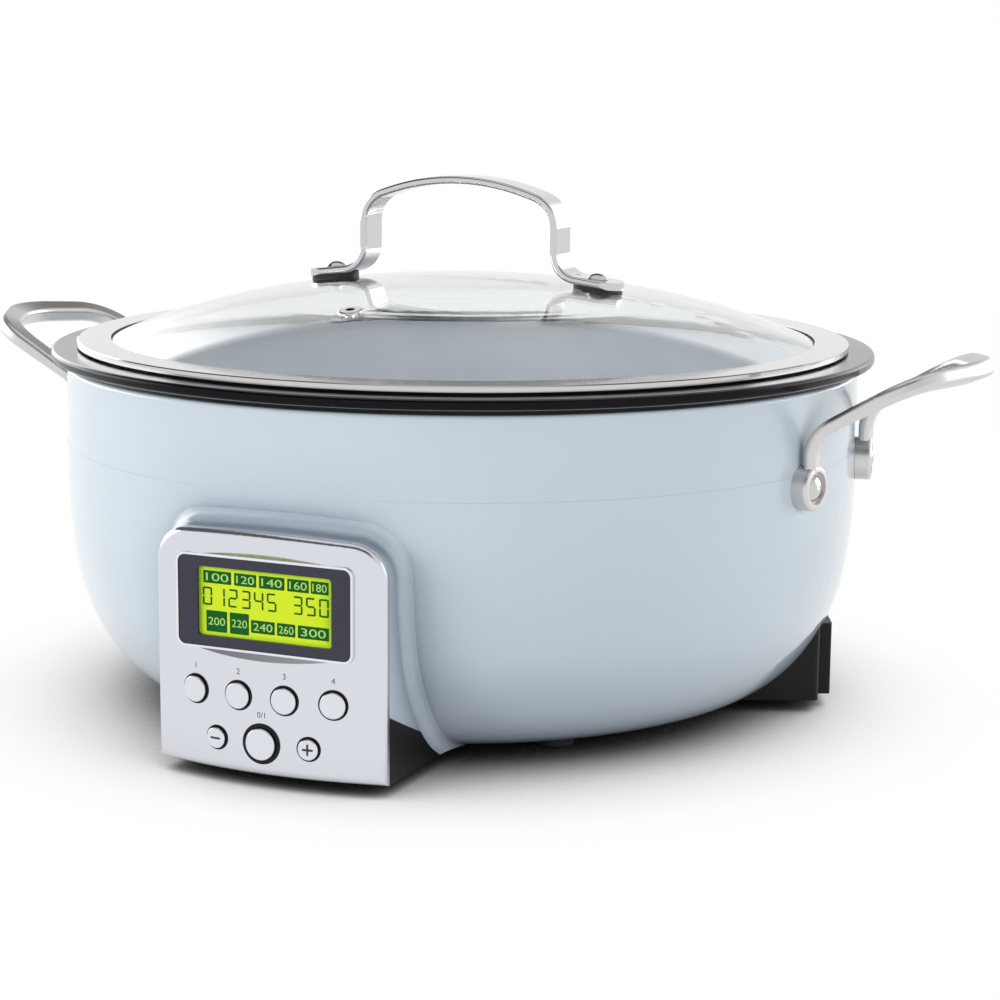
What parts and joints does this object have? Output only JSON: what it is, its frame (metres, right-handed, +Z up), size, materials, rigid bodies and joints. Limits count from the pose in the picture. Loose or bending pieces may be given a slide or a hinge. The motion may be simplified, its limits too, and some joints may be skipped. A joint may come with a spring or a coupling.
{
  "type": "electric multi-cooker",
  "caption": "Round countertop electric cooker with a lift-out pan, a domed glass lid with a strap handle, two loop side handles and a front control pod with display and push buttons.",
  "frame": {"origin": "on the pan's axis, at the surface that the rubber feet stand on", "axes": "+Z up, front with the control pod towards -Y, side handles along X"},
  "size_m": [0.4768, 0.381, 0.2303],
  "materials": {
    "blue_paint": "pale powder-blue enamel, satin gloss",
    "silver_fascia": "bright satin silver",
    "dark_plastic": "black, fine matte grain",
    "bright_trim": "polished",
    "slate_bezel": "dark slate, satin",
    "lcd": "yellow-green screen",
    "light_box": "white",
    "button_silver": "silver lacquer",
    "board_green": "green lacquer",
    "component_black": "black",
    "terminal_white": "white",
    "transformer_core": "lacquered core",
    "zinc_steel": "zinc plated",
    "cast_pan": "dark non-stick coating on cast aluminium",
    "well_metal": "bare",
    "heater_cast": "cast",
    "heater_tube": "heat-tinted steel",
    "sensor_metal": "bare",
    "polished_steel": "polished stainless steel",
    "black_rubber": "black silicone rubber",
    "clear_glass": "clear tempered glass"
  },
  "bodies": {
    "base": {"housing_shell": "blue_paint", "control_fascia": "silver_fascia", "pod_base": "dark_plastic", "display_frame": "bright_trim", "display_bezel": "slate_bezel", "lcd_panel": "lcd", "lcd_light_box": "light_box", "button_collars": "dark_plastic", "control_board": "board_green", "board_screws": "zinc_steel", "key_switches": "component_black", "controller_chip": "component_black", "inner_well": "well_metal", "heating_plate": "heater_cast", "heating_element": "heater_tube", "heater_posts": "zinc_steel", "sensor_spring": "zinc_steel", "thermal_fuse": "component_black", "base_plate": "dark_plastic", "rubber_feet": "black_rubber", "housing_columns": "dark_plastic", "base_screws": "zinc_steel", "side_handle_left": "polished_steel", "side_handle_right": "polished_steel", "handle_rivets": "polished_steel", "handle_washers": "zinc_steel", "cord_wrap_bracket_left": "dark_plastic", "cord_wrap_bracket_right": "dark_plastic", "cord_wrap_plate_left": "dark_plastic", "cord_wrap_plate_right": "dark_plastic", "cord_entry_housing": "dark_plastic", "cord_gland": "black_rubber", "power_board": "board_green", "transformer": "transformer_core", "power_relay": "component_black", "capacitors": "component_black", "terminal_block": "terminal_white", "terminal_screws": "zinc_steel"},
    "pan": {"pan": "cast_pan"},
    "lid": {"lid_glass": "clear_glass", "lid_ring": "polished_steel", "lid_seal": "black_rubber", "lid_handle": "polished_steel", "lid_handle_pads": "black_rubber", "lid_handle_rivets": "polished_steel", "lid_handle_washers": "polished_steel", "steam_vent": "polished_steel"},
    "sensor": {"temperature_sensor": "sensor_metal", "sensor_clip": "zinc_steel"},
    "button_preset_body": {"button_preset": "button_silver"},
    "button_menu_body": {"button_menu": "button_silver"},
    "button_time_body": {"button_time": "button_silver"},
    "button_temperature_body": {"button_temperature": "button_silver"},
    "button_minus_body": {"button_minus": "button_silver"},
    "button_start_body": {"button_start": "button_silver"},
    "button_plus_body": {"button_plus": "button_silver"}
  },
  "joints": [
    {"name": "pan_lift", "type": "slide", "parent": "base", "child": "pan", "axis": [0, 0, 1], "range_m": [0, 0.2]},
    {"name": "lid_lift", "type": "slide", "parent": "pan", "child": "lid", "axis": [0, 0, 1], "range_m": [0, 0.15]},
    {"name": "sensor_slide", "type": "slide", "parent": "base", "child": "sensor", "axis": [0, 0, 1], "range_m": [-0.003, 0], "stiffness_N_per_m": 200, "springref_m": 0.003, "deforming": ["sensor_spring"]},
    {"name": "preset_press", "type": "slide", "parent": "base", "child": "button_preset_body", "axis": [0.1604, 0.987, 0], "range_m": [0, 0.0012], "stiffness_N_per_m": 250, "springref_m": -0.001},
    {"name": "menu_press", "type": "slide", "parent": "base", "child": "button_menu_body", "axis": [0.0537, 0.9986, 0], "range_m": [0, 0.0012], "stiffness_N_per_m": 250, "springref_m": -0.001},
    {"name": "time_press", "type": "slide", "parent": "base", "child": "button_time_body", "axis": [-0.0537, 0.9986, 0], "range_m": [0, 0.0012], "stiffness_N_per_m": 250, "springref_m": -0.001},
    {"name": "temperature_press", "type": "slide", "parent": "base", "child": "button_temperature_body", "axis": [-0.1604, 0.987, 0], "range_m": [0, 0.0012], "stiffness_N_per_m": 250, "springref_m": -0.001},
    {"name": "minus_press", "type": "slide", "parent": "base", "child": "button_minus_body", "axis": [0.1072, 0.9942, 0], "range_m": [0, 0.0012], "stiffness_N_per_m": 250, "springref_m": -0.001},
    {"name": "start_press", "type": "slide", "parent": "base", "child": "button_start_body", "axis": [0, 1, 0], "range_m": [0, 0.0012], "stiffness_N_per_m": 250, "springref_m": -0.001},
    {"name": "plus_press", "type": "slide", "parent": "base", "child": "button_plus_body", "axis": [-0.1072, 0.9942, 0], "range_m": [0, 0.0012], "stiffness_N_per_m": 250, "springref_m": -0.001}
  ]
}
